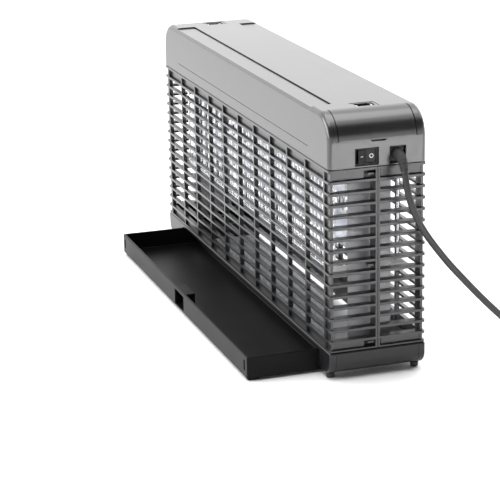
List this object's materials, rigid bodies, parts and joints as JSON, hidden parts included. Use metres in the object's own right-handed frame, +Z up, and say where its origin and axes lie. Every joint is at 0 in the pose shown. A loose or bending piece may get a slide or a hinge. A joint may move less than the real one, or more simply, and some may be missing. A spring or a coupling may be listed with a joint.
{
  "type": "electric bug zapper",
  "caption": "Flat upright insect killer with louvred cage, lamps, wire grids, sliding catch tray, rocker switch and mains lead.",
  "frame": {"origin": "on the standing surface, at the middle of the length and of the depth with the tray drawn out", "axes": "+X along the length towards the switch end, +Y from the tray side to the back, +Z up"},
  "size_m": [0.5208, 0.392, 0.237],
  "materials": {
    "housing": "fine satin moulding texture",
    "tray": "satin",
    "rubber": "matt",
    "lead": "satin sheath",
    "wire": "bright drawn wire",
    "sheet": "zinc plated sheet",
    "glass": "phosphor coated tube",
    "insulator": "moulded",
    "core": "varnished laminations",
    "switch": "gloss"
  },
  "bodies": {
    "housing": {"bail_seat_far": "housing", "bail_seat_near": "housing", "ballast_1": "core", "ballast_2": "core", "base": "housing", "base_screw_1": "sheet", "base_screw_2": "sheet", "base_screw_3": "sheet", "base_screw_4": "sheet", "chassis": "sheet", "cord_coil": "lead", "cord_gland": "rubber", "cord_tail": "lead", "earth_grid_front": "wire", "earth_grid_rear": "wire", "end_bracket_far": "sheet", "end_bracket_near": "sheet", "end_panel_far": "housing", "end_panel_near": "housing", "foot_1": "rubber", "foot_2": "rubber", "foot_3": "rubber", "foot_4": "rubber", "front_grille": "housing", "grid_insulator_lower_far": "insulator", "grid_insulator_lower_near": "insulator", "grid_insulator_upper_far": "insulator", "grid_insulator_upper_near": "insulator", "hv_transformer": "core", "lamp_holder_lower_far": "insulator", "lamp_holder_lower_near": "insulator", "lamp_holder_upper_far": "insulator", "lamp_holder_upper_near": "insulator", "lamp_lower": "glass", "lamp_upper": "glass", "live_grid_front": "wire", "live_grid_rear": "wire", "mains_plug": "lead", "power_cord": "lead", "rear_grille": "housing", "starter_1": "insulator", "starter_2": "insulator", "strain_relief": "rubber", "switch_bezel": "switch", "terminal_block": "insulator", "top_cover": "housing"},
    "tray": {"catch_tray": "tray"},
    "rocker": {"switch_rocker": "switch"},
    "bail_near": {"hanging_bail_near": "wire"},
    "bail_far": {"hanging_bail_far": "wire"}
  },
  "joints": [
    {"name": "tray_slide", "type": "slide", "parent": "housing", "child": "tray", "axis": [0, -1, 0], "range_m": [-0.066, 0.018]},
    {"name": "rocker_tilt", "type": "hinge", "parent": "housing", "child": "rocker", "pos_m": [0.2414, 0.0233, 0.1993], "axis": [0, 0, -1], "range_deg": [0, 14]},
    {"name": "bail_near_fold", "type": "hinge", "parent": "housing", "child": "bail_near", "pos_m": [0.21, 0.0345, 0.2352], "axis": [0, -1, 0], "range_deg": [0, 90]},
    {"name": "bail_far_fold", "type": "hinge", "parent": "housing", "child": "bail_far", "pos_m": [-0.21, 0.0345, 0.2352], "axis": [0, 1, 0], "range_deg": [0, 90]}
  ]
}
